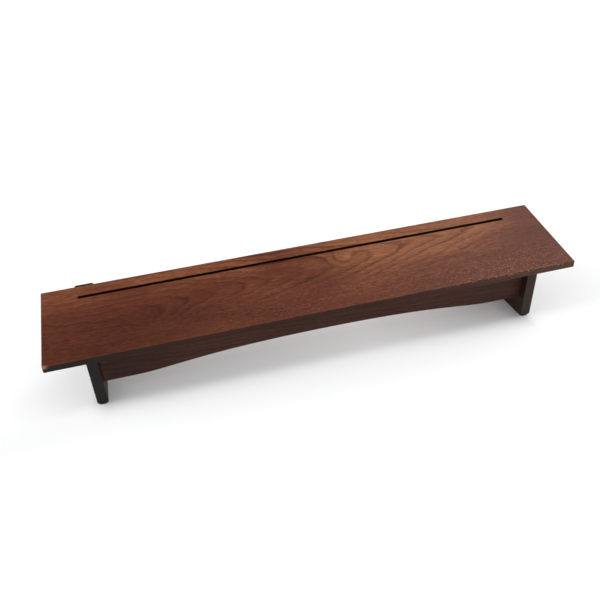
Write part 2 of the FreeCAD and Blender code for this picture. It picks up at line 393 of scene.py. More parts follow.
class GrowthRings(Effect):
    """Growth rings of a plank sawn beside the pith: arched loops along its middle, lines at its sides."""

    label = "Growth rings"
    takes = (
        Port("Place", PortKind.VECTOR, ORIGIN),
        Port("Pith depth", default=0.02),
        Port("Pith line", default=0.06),
        Port("Drift", default=0.1),
        Port("Bend", default=0.0),
        Port("Bend reach", default=0.07),
        Port("Taper", default=0.2),
        Port("Taper loss", default=0.0),
        Port("Pitch", default=0.007),
        Port("Wander", default=0.006),
        Port("Swirl place", PortKind.VECTOR, ORIGIN),
        Port("Swirl reach", PortKind.VECTOR, (0.01, 0.01, 1.0)),
        Port("Swirl rise", default=0.0),
    )
    gives = (Port("Line"), Port("Tone"))
    slow_lumps = (9.0, 16.0, 16.0)
    quick_lumps = (38.0, 90.0, 90.0)
    slow_swing = 4.0
    quick_swing = 0.9
    swirl_fray = 1.6
    season_pace = 0.35
    season_swing = 1.5
    faintest_line = 0.15
    line_profile = {0.0: 1.0, 1.0: 1.0, 0.1: 0.75, 0.3: 0.18, 0.55: 0.0, 0.93: 0.05}
    tone_profile = {0.0: 0.35, 1.0: 0.4, 0.3: 0.8, 0.6: 0.5}

    @classmethod
    def wire(cls, graph: Graph, given: dict[str, Socket]) -> dict[str, Socket]:
        """Measures the distance from a wandering pith and cuts it into rings.

        Args:
            graph: The group's tree.
            given: The group's inputs by name.

        Returns:
            "Line", 1 on the dark early wood of each ring, and "Tone", the light and dark inside a ring.
        """
        place = given["Place"]
        x, y, z = graph.split(place)
        slow = graph.noise(graph.vector("MULTIPLY", place, cls.slow_lumps), detail=1.0)
        slow = graph.math("SUBTRACT", slow, 0.5)
        quick = graph.noise(graph.vector("MULTIPLY", place, cls.quick_lumps), detail=3.0, roughness=0.55)
        quick = graph.math("SUBTRACT", quick, 0.5)
        line = graph.math("MULTIPLY_ADD", x, given["Drift"], given["Pith line"])
        bent = graph.bell(graph.math("DIVIDE", x, given["Bend reach"]))
        line = graph.math("MULTIPLY_ADD", bent, graph.product(given["Bend"], -1.0), line)
        off_line = graph.math("SUBTRACT", y, line)
        off_line = graph.sum(off_line, (graph.product(slow, given["Wander"]), cls.slow_swing))
        depth = graph.math("ADD", z, given["Pith depth"])
        radius = graph.vector("LENGTH", graph.join(off_line, depth, 0.0))
        lost = graph.product(x, x, given["Taper loss"])
        radius = graph.math("SUBTRACT", graph.math("MULTIPLY_ADD", x, given["Taper"], radius), lost)
        radius = graph.sum(radius, (graph.product(quick, given["Wander"]), cls.quick_swing))
        apart = graph.vector("SUBTRACT", place, given["Swirl place"])
        near = graph.vector("LENGTH", graph.vector("DIVIDE", apart, given["Swirl reach"]))
        near = graph.sum(near, (quick, cls.swirl_fray))
        radius = graph.math("MULTIPLY_ADD", graph.bell(near), given["Swirl rise"], radius)
        count = graph.math("DIVIDE", radius, given["Pitch"])
        seasons = graph.noise(graph.join(graph.product(count, cls.season_pace), 0.0, 0.0), detail=1.0)
        count = graph.sum(count, (seasons, cls.season_swing))
        share = graph.math("FRACT", count)
        each = graph.add("ShaderNodeTexWhiteNoise", noise_dimensions="1D")
        graph.feed(each.inputs["W"], graph.math("FLOOR", count))
        strength = graph.between(each.outputs["Value"], 0.1, 1.0, cls.faintest_line, 1.0)
        line = graph.product(graph.ramp(share, cls.line_profile), strength)
        return {"Line": line, "Tone": graph.ramp(share, cls.tone_profile)}


class Pores(Effect):
    """Short open pores: dashes that run with the grain."""

    label = "Open pores"
    takes = (
        Port("Place", PortKind.VECTOR, ORIGIN),
        Port("Width", default=0.0004),
        Port("Length", default=0.006),
        Port("Cover", default=0.3),
    )
    gives = (Port("Pore"),)
    limit_low = 0.26
    limit_high = 0.62
    rim = 0.06

    @classmethod
    def wire(cls, graph: Graph, given: dict[str, Socket]) -> dict[str, Socket]:
        """Stretches a noise along the grain and keeps only its lows.

        Args:
            graph: The group's tree.
            given: The group's inputs by name.

        Returns:
            "Pore", 1 inside a pore.
        """
        scaled = graph.stretch(given["Place"], given["Length"], given["Width"])
        lumps = graph.noise(scaled, detail=1.0, roughness=0.4, warp=0.15)
        limit = graph.between(given["Cover"], 0.0, 1.0, cls.limit_low, cls.limit_high)
        return {"Pore": graph.between(lumps, graph.math("SUBTRACT", limit, cls.rim), limit, 1.0, 0.0)}


class Cloud(Effect):
    """Slow, uneven take-up of stain, stretched along the grain."""

    label = "Stain cloud"
    takes = (
        Port("Place", PortKind.VECTOR, ORIGIN),
        Port("Across", default=0.03),
        Port("Along", default=0.12),
    )
    gives = (Port("Cloud"),)

    @classmethod
    def wire(cls, graph: Graph, given: dict[str, Socket]) -> dict[str, Socket]:
        """Spreads a soft noise about zero.

        Args:
            graph: The group's tree.
            given: The group's inputs by name.

        Returns:
            "Cloud", mostly from -0.5 to 0.5.
        """
        scaled = graph.stretch(given["Place"], given["Along"], given["Across"])
        soft = graph.noise(scaled, detail=3.0, roughness=0.5, warp=0.3)
        return {"Cloud": graph.product(graph.math("SUBTRACT", soft, 0.5), 2.0)}


class Patch(Effect):
    """One soft-edged oval spot at a chosen place."""

    label = "Soft patch"
    takes = (
        Port("Place", PortKind.VECTOR, ORIGIN),
        Port("Centre", PortKind.VECTOR, ORIGIN),
        Port("Reach", PortKind.VECTOR, (0.01, 0.01, 0.01)),
    )
    gives = (Port("Patch"),)

    @classmethod
    def wire(cls, graph: Graph, given: dict[str, Socket]) -> dict[str, Socket]:
        """Fades from the centre outwards as a bell curve.

        Args:
            graph: The group's tree.
            given: The group's inputs by name.

        Returns:
            "Patch", 1 at the centre.
        """
        apart = graph.vector("SUBTRACT", given["Place"], given["Centre"])
        share = graph.vector("LENGTH", graph.vector("DIVIDE", apart, given["Reach"]))
        return {"Patch": graph.bell(share)}


class EdgeWear(Effect):
    """Rubbed arrises: found where a rounded normal leaves the true one, and broken up by noise."""

    label = "Edge wear"
    takes = (
        Port("Place", PortKind.VECTOR, ORIGIN),
        Port("Reach", default=0.0012),
        Port("Lump", default=0.004),
        Port("Amount", default=0.5),
    )
    gives = (Port("Wear"), Port("Edge"))
    turned = 0.86
    flat = 0.995
    limit_high = 0.75
    limit_low = 0.25
    blur = 0.12

    @classmethod
    def wire(cls, graph: Graph, given: dict[str, Socket]) -> dict[str, Socket]:
        """Compares the rounded and the true normal.

        Args:
            graph: The group's tree.
            given: The group's inputs by name.

        Returns:
            "Wear", 1 where the finish is rubbed away, and "Edge", 1 all along an arris.
        """
        rounded = graph.add("ShaderNodeBevel", samples=6)
        graph.feed(rounded.inputs["Radius"], given["Reach"])
        true_normal = graph.add("ShaderNodeNewGeometry").outputs["True Normal"]
        same = graph.vector("DOT_PRODUCT", rounded.outputs[0], true_normal)
        edge = graph.between(same, cls.turned, cls.flat, 1.0, 0.0)
        lumps = graph.noise(graph.stretch(given["Place"], given["Lump"], given["Lump"]), detail=3.0)
        limit = graph.between(given["Amount"], 0.0, 1.0, cls.limit_high, cls.limit_low)
        worn = graph.between(lumps, limit, graph.math("ADD", limit, cls.blur))
        return {"Wear": graph.product(worn, edge), "Edge": edge}


class Flecks(Effect):
    """Scattered fine specks, used for dust on rubber and for pale specks in open grain."""

    label = "Flecks"
    takes = (
        Port("Place", PortKind.VECTOR, ORIGIN),
        Port("Across", default=0.001),
        Port("Along", default=0.002),
        Port("Cover", default=0.3),
    )
    gives = (Port("Fleck"),)
    core = 0.15
    rim = 0.42

    @classmethod
    def wire(cls, graph: Graph, given: dict[str, Socket]) -> dict[str, Socket]:
        """Keeps the middles of some cells of a cell pattern.

        Args:
            graph: The group's tree.
            given: The group's inputs by name.

        Returns:
            "Fleck", 1 in a speck.
        """
        cells = graph.add("ShaderNodeTexVoronoi")
        cells.inputs["Scale"].default_value = 1.0
        graph.feed(cells.inputs["Vector"], graph.stretch(given["Place"], given["Along"], given["Across"]))
        chance = graph.split(cells.outputs["Color"])[0]
        kept = graph.math("LESS_THAN", chance, given["Cover"])
        middle = graph.between(cells.outputs["Distance"], cls.core, cls.rim, 1.0, 0.0)
        return {"Fleck": graph.product(kept, middle)}


# ---------------------------------------------------------------- how boards lie


class Grain(Enum):
    """Which of the top board's own directions a piece's grain follows."""

    LENGTHWISE = 0
    FRONT_TO_BACK = 1
    UPRIGHT = 2


@dataclass(frozen=True)
class Lie:
    """The direction of a piece's grain, width and broad face, with its first corner as the zero."""

    turn: Matrix
    corner: Vector

    @property
    def face(self) -> Vector:
        """The direction that the broad face looks in."""
        return Vector(self.turn[2])

    def coordinates(self, graph: Graph, shift: float = 0.0) -> Socket:
        """Gives each point's place in the piece: along the grain, across it and through the thickness.

        Args:
            graph: The material's tree.
            shift: How far along the log the piece was cut, in metres.

        Returns:
            The place, in metres from the piece's first corner.
        """
        source = graph.add("ShaderNodeTexCoord").outputs["Object"]
        mapping = graph.add("ShaderNodeMapping", vector_type="POINT")
        graph.feed(mapping.inputs["Vector"], source)
        mapping.inputs["Rotation"].default_value = self.turn.to_euler("XYZ")
        mapping.inputs["Location"].default_value = Vector((shift, 0.0, 0.0)) - self.corner
        return mapping.outputs[0]


def broad_face(node: str) -> Vector:
    """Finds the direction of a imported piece's largest face.

    Args:
        node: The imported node's name.

    Returns:
        The face's normal.
    """
    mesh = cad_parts[node].data
    return max(mesh.polygons, key=lambda polygon: polygon.area).normal.copy()


def board_directions() -> tuple[Vector, Vector, Vector]:
    """Reads the lean of the top board from its broad face.

    Returns:
        The board's directions: along its length, from front to back, and up out of its face.
    """
    up = broad_face("top_board")
    along = Vector((1.0, 0.0, 0.0))
    return along, up.cross(along), up


def lie_of(node: str, grain: Grain) -> Lie:
    """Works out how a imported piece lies.

    Args:
        node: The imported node's name.
        grain: The direction of its grain.

    Returns:
        Its lie.
    """
    along = board_directions()[grain.value]
    face = broad_face(node)
    if abs(face.dot(along)) > END_ON:
        face = board_directions()[(grain.value + 1) % 3]
    across = face.cross(along).normalized()
    turn = Matrix((along, across, along.cross(across)))
    spots = [turn @ vertex.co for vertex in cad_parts[node].data.vertices]
    return Lie(turn, Vector(min(s[i] for s in spots) for i in range(3)))


# ---------------------------------------------------------------- finishes


@dataclass(frozen=True)
class Fade:
    """A smooth change from one value to another between two places."""

    low: float
    high: float
    start: float = 0.0
    end: float = 1.0

    def of(self, graph: Graph, value: Socket) -> Socket:
        """Gives the value of the fade at a place."""
        return graph.between(value, self.low, self.high, self.start, self.end)


@dataclass(frozen=True)
class Spot:
    """An oval where the finish changes, measured from the piece's first corner in metres."""

    centre: tuple[float, float, float]
    reach: tuple[float, float, float]
    change: float = 1.0

    def mask(self, graph: Graph, place: Socket) -> Socket:
        """Puts the oval into a material.

        Args:
            graph: The material's tree.
            place: The place in the piece.

        Returns:
            1 at its centre, fading outwards.
        """
        return Patch.mask(graph, place, centre=self.centre, reach=self.reach)


@dataclass(frozen=True)
class Figure:
    """How a plank was cut from its log, in metres."""

    pith_depth: float = 0.02
    pith_line: float = 0.06
    drift: float = 0.1
    bend: float = 0.0
    bend_reach: float = 0.07
    taper: float = 0.2
    taper_loss: float = 0.0
    pitch: float = 0.007
    wander: float = 0.006
    swirl_place: tuple[float, float, float] = ORIGIN
    swirl_reach: tuple[float, float, float] = (0.01, 0.01, 1.0)
    swirl_rise: float = 0.0
    shift: float = 0.0

    def rings(self, graph: Graph, place: Socket) -> dict[str, Socket]:
        """Puts this plank's growth rings into a material.

        Args:
            graph: The material's tree.
            place: The place in the plank.

        Returns:
            The outputs of the growth rings.
        """
        names = [port.name for port in GrowthRings.takes if port.name != "Place"]
        values = {name: getattr(self, name.lower().replace(" ", "_")) for name in names}
        return GrowthRings.place(graph, {"Place": place, **values})


@dataclass(frozen=True)
class Stain:
    """A dark stain on open-pored wood, with a thin satin coat."""

    name: str
    deep: Colour
    middle: Colour
    bright: Colour
    edge: Colour
    pore: Colour
    worn: Colour
    gloss: float = 0.3
    roughness: float = 0.42
    wear: float = 0.35
    wear_reach: float = 0.0011
    wear_lump: float = 0.005
    base_tone: float = 0.42
    swell_weight: float = 0.5
    cloud_weight: float = 0.3
    streak_weight: float = 0.27
    mottle_weight: float = 0.3
    line_weight: float = 0.42
    pore_cover: float = 0.45
    pore_weight: float = 0.75
    fine_weight: float = 0.55
    late_weight: float = 0.4
    side: Fade = Fade(0.55, 0.93, 1.0, 0.0)
    side_weight: float = 0.85
    rub_weight: float = 0.6
    relief: float = 0.00022

    def material(
        self, piece: str, lie: Lie, figure: Figure, spots: tuple[Spot, ...] = (),
        extras: "Extras | None" = None,
    ) -> bpy.types.Material:
        """Makes this stain's material for one piece.

        Args:
            piece: The piece's name.
            lie: How the piece lies.
            figure: How it was cut.
            spots: Where the stain took darker or lighter, and where shade is painted darker.
            extras: Marks that only the top board has.

        Returns:
            The material.
        """
        material = new_material(f"{self.name}_{piece}")
        graph = Graph(material.node_tree)
        here = lie.coordinates(graph)
        place = graph.vector("ADD", here, (figure.shift, 0.0, 0.0))
        rings = figure.rings(graph, place)
        line = rings["Line"]
        swell = graph.math("SUBTRACT", rings["Tone"], 0.5)
        open_grain = 1.0
        if extras:
            clear, open_grain = extras.clarity(graph, place)
            line = graph.product(line, clear)
            swell = graph.product(swell, clear)
        cloud = Cloud.mask(graph, place, across=0.035, along=0.11)
        streak = Cloud.mask(graph, place, across=0.0016, along=0.045)
        mottle = Cloud.mask(graph, place, across=0.0028, along=0.007)
        tone = graph.sum(
            self.base_tone, (swell, self.swell_weight), (cloud, self.cloud_weight),
            (streak, self.streak_weight), (mottle, self.mottle_weight),
        )
        for spot in spots:
            tone = graph.sum(tone, (spot.mask(graph, here), spot.change))
        if extras:
            tone = extras.shade(graph, place, tone)
        tone = graph.math("SUBTRACT", tone, graph.product(line, self.line_weight), clamp=True)
        colour = graph.ramp(tone, {0.0: self.deep, 1.0: self.bright, 0.5: self.middle})
        pores = graph.product(self.pores(graph, place, line), open_grain)
        colour = graph.blend(graph.product(pores, self.pore_weight), colour, self.pore)
        normal = graph.add("ShaderNodeNewGeometry").outputs["True Normal"]
        facing = graph.math("ABSOLUTE", graph.vector("DOT_PRODUCT", normal, tuple(lie.face)))
        side = graph.product(self.side.of(graph, facing), self.side_weight)
        colour = graph.blend(side, colour, self.edge)
        edges = {"Place": place, "Reach": self.wear_reach, "Lump": self.wear_lump, "Amount": self.wear}
        wear = EdgeWear.place(graph, edges)
        rub = wear["Wear"]
        if extras:
            colour, rub = extras.mark(graph, place, colour, wear)
        # on the top board the rubbed colour also paints a highlight along the front arris
        colour = graph.blend(graph.product(rub, self.rub_weight), colour, self.worn)
        rough = graph.sum(self.roughness, (pores, 0.16), (cloud, 0.05), (rub, -0.08))
        height = graph.sum(0.5, (pores, -0.5), (streak, 0.12), (line, -0.12))
        satin_surface(graph, colour, rough, height, self.gloss, self.relief)
        return material

    def pores(self, graph: Graph, place: Socket, line: Socket) -> Socket:
        """Puts fine pores everywhere and coarse ones mostly along the growth rings.

        Args:
            graph: The material's tree.
            place: The place in the piece.
            line: Where the rings are.

        Returns:
            1 inside a pore.
        """
        fine = Pores.mask(graph, place, width=0.0005, length=0.005, cover=self.pore_cover)
        coarse = Pores.mask(graph, place, width=0.001, length=0.009, cover=self.pore_cover)
        near_line = graph.sum(self.late_weight, (line, 1.0 - self.late_weight))
        return graph.math(
            "MAXIMUM", graph.product(coarse, near_line), graph.product(fine, self.fine_weight)
        )


@dataclass(frozen=True)
class BareTimber:
    """Bare, planed wood that was never stained."""

    name: str
    early: Colour
    late: Colour
    grime: Colour
    roughness: float = 0.66
    base_tone: float = 0.25
    line_weight: float = 0.7
    streak_weight: float = 0.25
    cloud_weight: float = 0.2
    gloss: float = 0.35
    relief: float = 0.00012

    def material(self, piece: str, lie: Lie, figure: Figure) -> bpy.types.Material:
        """Makes this timber's material for one piece.

        Args:
            piece: The piece's name.
            lie: How the piece lies.
            figure: How it was cut.

        Returns:
            The material.
        """
        material = new_material(f"{self.name}_{piece}")
        graph = Graph(material.node_tree)
        place = lie.coordinates(graph, figure.shift)
        rings = figure.rings(graph, place)
        cloud = Cloud.mask(graph, place, across=0.008, along=0.03)
        streak = Cloud.mask(graph, place, across=0.0006, along=0.012)
        pores = Pores.mask(graph, place, width=0.0003, length=0.003, cover=0.22)
        tone = graph.sum(
            self.base_tone, (rings["Line"], self.line_weight),
            (streak, self.streak_weight), (cloud, self.cloud_weight),
        )
        colour = graph.ramp(tone, {0.0: self.early, 1.0: self.late})
        wear = EdgeWear.mask(graph, place, reach=0.0007, lump=0.002, amount=0.6)
        grime = graph.math("MAXIMUM", graph.product(pores, 0.5), graph.product(wear, 0.4))
        colour = graph.blend(grime, colour, self.grime)
        rough = graph.sum(self.roughness, (pores, 0.15), (rings["Line"], -0.08))
        height = graph.sum(0.5, (pores, -0.4), (rings["Line"], 0.15), (streak, 0.2))
        satin_surface(graph, colour, rough, height, self.gloss, self.relief)
        return material


@dataclass(frozen=True)
class ZincPlate:
    """Yellow-passivated zinc on turned steel."""

    name: str
    plate: Colour = (0.55, 0.43, 0.2)
    blush: Colour = (0.42, 0.3, 0.3)
    grime: Colour = (0.05, 0.042, 0.035)
    gloss: float = 0.5
    relief: float = 0.00003

    def material(self, piece: str, lie: Lie) -> bpy.types.Material:
        """Makes the plating's material for one group of screws.

        Args:
            piece: The group's name.
            lie: How the screws lie, with their axes as the grain.

        Returns:
            The material.
        """
        material = new_material(f"{self.name}_{piece}")
        graph = Graph(material.node_tree)
        place = lie.coordinates(graph)
        turned = Cloud.mask(graph, place, across=0.004, along=0.00012)
        bloom = Cloud.mask(graph, place, across=0.0025, along=0.0025)
        dirt = Flecks.mask(graph, place, across=0.0005, along=0.0005, cover=0.3)
        wear = EdgeWear.mask(graph, place, reach=0.0002, lump=0.0006, amount=0.6)
        colour = graph.ramp(graph.sum(0.5, (bloom, 0.9)), {0.0: self.blush, 1.0: self.plate})
        colour = graph.blend(graph.product(dirt, 0.7), colour, self.grime)
        rough = graph.sum(0.32, (turned, 0.12), (dirt, 0.3), (wear, -0.1))
        height = graph.sum(0.5, (turned, 0.4), (dirt, 0.2))
        shader = satin_surface(graph, colour, rough, height, self.gloss, self.relief)
        graph.feed(shader.inputs["Metallic"], graph.sum(1.0, (dirt, -0.8)))
        return material


@dataclass(frozen=True)
class Rubber:
    """Matt black rubber with a moulded skin, dusty where it is handled."""

    name: str
    black: Colour = (0.008, 0.0072, 0.0068)
    grey: Colour = (0.035, 0.031, 0.027)
    gloss: float = 0.15
    relief: float = 0.00008

    def material(self, piece: str, lie: Lie) -> bpy.types.Material:
        """Makes the rubber's material for one pad.

        Args:
            piece: The pad's name.
            lie: How the pad lies.

        Returns:
            The material.
        """
        material = new_material(f"{self.name}_{piece}")
        graph = Graph(material.node_tree)
        place = lie.coordinates(graph)
        skin = Cloud.mask(graph, place, across=0.0004, along=0.0004)
        bloom = Cloud.mask(graph, place, across=0.005, along=0.008)
        pale_specks = Flecks.mask(graph, place, across=0.0007, along=0.0007, cover=0.25)
        wear = EdgeWear.mask(graph, place, reach=0.0006, lump=0.0015, amount=0.7)
        pale = graph.sum(0.1, (bloom, 0.35), (pale_specks, 0.5), (wear, 0.4))
        colour = graph.ramp(pale, {0.0: self.black, 1.0: self.grey})
        rough = graph.sum(0.72, (bloom, 0.12), (pale_specks, 0.1))
        satin_surface(graph, colour, rough, graph.sum(0.5, (skin, 0.8)), self.gloss, self.relief)
        return material


@dataclass(frozen=True)
class Extras:
    """Marks on the top board alone, at places measured from its front left corner in metres."""

    # pale specks in the open grain at the right front of the top face
    pale_specks: Colour = (0.5, 0.33, 0.24)
    # painted light and painted shade on the front edge: paler towards the right, near black towards the
    # left
    pale_edge: Colour = (0.079, 0.037, 0.0225)
    black_edge: Colour = (0.011, 0.008, 0.0055)
    groove_dark_colour: Colour = (0.012, 0.006, 0.0045)
    ring_patches: tuple[float, float, float] = (14.0, 30.0, 1.0)
    ring_fray: float = 0.04
    rings_at_rear: Fade = Fade(0.05, 0.078, 0.1, 1.0)
    rings_at_left: Fade = Fade(0.02, 0.3, 0.5, 1.0)
    rings_past_middle: Fade = Fade(0.29, 0.4, 1.0, 0.7)
    rings_at_right: Fade = Fade(0.5, 0.57, 1.0, 0.25)
    rings_in_patches: Fade = Fade(0.35, 0.6, 0.55, 1.1)
    open_front: Fade = Fade(0.03, 0.075, 1.3, 0.7)
    # partly painted sheen, partly uneven stain: the board is lighter towards the right, where the sheen
    # falls
    paler_right: Fade = Fade(0.2, 0.42, 0.0, 0.12)
    darker_end: Fade = Fade(0.5, 0.58, 0.0, -0.06)
    # partly painted sheen, partly uneven stain: the board is lighter towards the rear
    paler_rear: Fade = Fade(0.02, 0.12, 0.0, 0.2)
    speck_zone: Spot = Spot((0.52, 0.014, 0.0), (0.09, 0.026, 1.0))
    dust_front: Fade = Fade(0.035, 0.065, 0.3, 0.0)
    speck_start: Fade = Fade(0.1, 0.3)
    top_face: Fade = Fade(0.0072, 0.0077)
    below_top: Fade = Fade(0.0072, 0.0077, 1.0, 0.0)
    front_face: Fade = Fade(0.0003, 0.001, 1.0, 0.0)
    pale_right: Fade = Fade(0.38, 0.6, 0.0, 0.85)
    black_left: Fade = Fade(0.02, 0.15, 0.85, 0.0)
    chip: Spot = Spot((0.001, 0.0, 0.0075), (0.0035, 0.002, 0.002), 1.6)
    rubbed_corner: Spot = Spot((0.6, 0.0, 0.007), (0.012, 0.01, 0.008))
    # nicks along the right of the front arris, partly wear and partly a painted highlight on that arris
    arris_nicks_and_highlight: Spot = Spot((0.54, 0.0, 0.008), (0.12, 0.0026, 0.002), 1.5)
    groove_line: float = 0.1037
    groove_middle: float = 0.3
    groove_wall: Fade = Fade(0.0027, 0.0031, 1.0, 0.0)
    groove_end: Fade = Fade(0.2605, 0.2615, 1.0, 0.0)
    groove_rim: Fade = Fade(0.0068, 0.0079, 1.0, 0.0)
    groove_weight: float = 0.9

    def clarity(self, graph: Graph, place: Socket) -> tuple[Socket, Socket]:
        """Says where the rings show: clearly in the rear and middle, hardly at the front and the ends.

        Args:
            graph: The material's tree.
            place: The place in the board.

        Returns:
            How clear the rings are, and how open the pores are.
        """
        x, y, _ = graph.split(place)
        patches = graph.noise(graph.vector("MULTIPLY", place, self.ring_patches), detail=1.0)
        clear = graph.product(
            self.rings_at_rear.of(graph, graph.sum(y, (patches, self.ring_fray))),
            self.rings_at_left.of(graph, x),
            self.rings_past_middle.of(graph, x),
            self.rings_at_right.of(graph, x),
            self.rings_in_patches.of(graph, patches),
        )
        return clear, self.open_front.of(graph, y)

    def shade(self, graph: Graph, place: Socket, tone: Socket) -> Socket:
        """Lightens the board towards the right and the rear, partly as painted sheen and partly as uneven
        stain, and darkens it towards its right end.

        Args:
            graph: The material's tree.
            place: The place in the board.
            tone: How light the wood is so far.

        Returns:
            The new tone.
        """
        x, y, _ = graph.split(place)
        # partly painted sheen: lighter towards the right and the rear
        for fade, value in ((self.paler_right, x), (self.darker_end, x), (self.paler_rear, y)):
            tone = graph.math("ADD", fade.of(graph, value), tone)
        return tone

    def mark(
        self, graph: Graph, place: Socket, colour: Socket, wear: dict[str, Socket]
    ) -> tuple[Socket, Socket]:
        """Adds pale specks in the grain at the right front, a front edge painted near black towards the
        left as painted shade and paler towards the right as painted light, and a darkened inside of the
        groove.

        Args:
            graph: The material's tree.
            place: The place in the board.
            colour: The colour so far.
            wear: The outputs of the edge wear.

        Returns:
            The new colour, and where the finish is rubbed away.
        """
        x, y, z = graph.split(place)
        # pale specks in the grain towards the right front
        specks = Flecks.mask(graph, place, across=0.0011, along=0.0018, cover=0.3)
        band = graph.product(self.dust_front.of(graph, y), self.speck_start.of(graph, x))
        zone = graph.math("MAXIMUM", self.speck_zone.mask(graph, place), band)
        colour = graph.blend(graph.product(specks, zone, self.top_face.of(graph, z)), colour, self.pale_specks)
        # painted shade towards the left of the front edge, painted light towards its right
        front = graph.product(self.front_face.of(graph, y), self.below_top.of(graph, z))
        for stretch, shade in ((self.pale_right, self.pale_edge), (self.black_left, self.black_edge)):
            colour = graph.blend(graph.product(front, stretch.of(graph, x)), colour, shade)
        # the inside of the groove is darkened to near black
        hollow = graph.product(self.hollow(graph, place), self.groove_weight)
        colour = graph.blend(hollow, colour, self.groove_dark_colour)
        return colour, self.rub(graph, place, wear)

    def rub(self, graph: Graph, place: Socket, wear: dict[str, Socket]) -> Socket:
        """Adds a chip at the front left corner, a rubbed right corner and nicks along the front arris,
        whose pale colour also paints a highlight along the right of that arris.

        Args:
            graph: The material's tree.
            place: The place in the board.
            wear: The outputs of the edge wear.

        Returns:
            Where the finish is rubbed away.
        """
        nicks = Flecks.mask(graph, place, across=0.0013, along=0.003, cover=0.7)
        corner = graph.product(self.rubbed_corner.mask(graph, place), wear["Edge"])
        # nicks on the front arris towards the right, which also paint a highlight there
        nicks_and_highlight = graph.product(nicks, self.arris_nicks_and_highlight.mask(graph, place), self.arris_nicks_and_highlight.change)
        chip = graph.product(self.chip.mask(graph, place), self.chip.change)
        rubbed = graph.math("MAXIMUM", wear["Wear"], corner)
        rubbed = graph.math("MAXIMUM", rubbed, nicks_and_highlight)
        return graph.math("MAXIMUM", rubbed, chip, clamp=True)

    def hollow(self, graph: Graph, place: Socket) -> Socket:
        """Finds the inside of the groove, which is darkened.

        Args:
            graph: The material's tree.
            place: The place in the board.

        Returns:
            1 inside the groove, 0 elsewhere.
        """
        x, y, z = graph.split(place)
        off_line = graph.math("ABSOLUTE", graph.math("SUBTRACT", y, self.groove_line))
        off_middle = graph.math("ABSOLUTE", graph.math("SUBTRACT", x, self.groove_middle))
        return graph.product(
            self.groove_wall.of(graph, off_line),
            self.groove_end.of(graph, off_middle),
            self.groove_rim.of(graph, z),
        )


def new_material(name: str) -> bpy.types.Material:
    """Makes an empty node material.

    Args:
        name: Its name.

    Returns:
        The material.
    """
    material = bpy.data.materials.new(name)
    material.use_nodes = True
    return material


def satin_surface(
    graph: Graph, colour: Socket, rough: Socket, height: Socket, gloss: float, depth: float
) -> bpy.types.Node:
    """Ends a material with its shader.

    Args:
        graph: The material's tree.
        colour: The base colour.
        rough: The roughness.
        height: The relief, from 0 to 1.
        gloss: The shader's specular level.
        depth: How deep the relief is, in metres.

    Returns:
        The shader node.
    """
    shader = graph.add("ShaderNodeBsdfPrincipled")
    bump = graph.add("ShaderNodeBump")
    bump.inputs["Strength"].default_value = RELIEF_STRENGTH
    bump.inputs["Distance"].default_value = depth
    graph.feed(bump.inputs["Height"], height)
    graph.feed(shader.inputs["Base Color"], colour)
    graph.feed(shader.inputs["Roughness"], graph.math("ADD", rough, 0.0, clamp=True))
    graph.feed(shader.inputs["Normal"], bump.outputs[0])
    shader.inputs["Specular IOR Level"].default_value = gloss
    output = graph.add("ShaderNodeOutputMaterial")
    graph.feed(output.inputs["Surface"], shader.outputs[0])
    return shader


WALNUT_STAIN = Stain(
    "walnut_stain",
    deep=(0.066, 0.0175, 0.01), middle=(0.145, 0.043, 0.0225), bright=(0.34, 0.13, 0.057),
    edge=(0.019, 0.0075, 0.0035), pore=(0.036, 0.0115, 0.008), worn=(0.44, 0.26, 0.17), gloss=0.11,
)
DARK_STAIN = Stain(
    "dark_stain",
    deep=(0.032, 0.0125, 0.009), middle=(0.058, 0.0238, 0.016), bright=(0.097, 0.042, 0.029),
    edge=(0.034, 0.0175, 0.012), pore=(0.016, 0.008, 0.006), worn=(0.14, 0.08, 0.055),
    gloss=0.08, wear=0.25,
)
# partly a darker stain and partly painted shade: the legs' faces are darker than the apron, deepening the
# shade on their inner faces under the board
LEG_STAIN_AND_SHADE = replace(
    DARK_STAIN, deep=(0.012, 0.0055, 0.0045), middle=(0.024, 0.0095, 0.007), bright=(0.044, 0.018, 0.013),
)
# painted shade and painted light: the left leg's edges are painted darker and the right leg's edges
# paler, as less light reaches the left
SHADED_LEFT_LEG_STAIN = replace(LEG_STAIN_AND_SHADE, name="left_leg_stain", edge=(0.0155, 0.0143, 0.014))
LIT_RIGHT_LEG_STAIN = replace(LEG_STAIN_AND_SHADE, name="right_leg_stain", edge=(0.041, 0.026, 0.0215))
SPRUCE = BareTimber(
    "bare_spruce", early=(0.58, 0.41, 0.23), late=(0.36, 0.2, 0.09), grime=(0.2, 0.13, 0.08),
)
BEECH = BareTimber(
    "bare_beech", early=(0.55, 0.36, 0.22), late=(0.44, 0.26, 0.14), grime=(0.22, 0.13, 0.08),
)
ZINC = ZincPlate("yellow_zinc")
BLACK_RUBBER = Rubber("black_rubber")


# ---------------------------------------------------------------- sub-assemblies


def dress(node: str, material: bpy.types.Material) -> None:
    """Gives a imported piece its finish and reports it.

    Args:
        node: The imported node's name.
        material: Its finish.
    """
    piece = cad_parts[node]
    for place in range(len(piece.material_slots)):
        piece.material_slots[place].material = material
    low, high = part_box(node)
    size = " x ".join(f"{side / MM:.1f}" for side in high - low)
    LOG.info("%s: %s, %s mm", node, material.name, size)


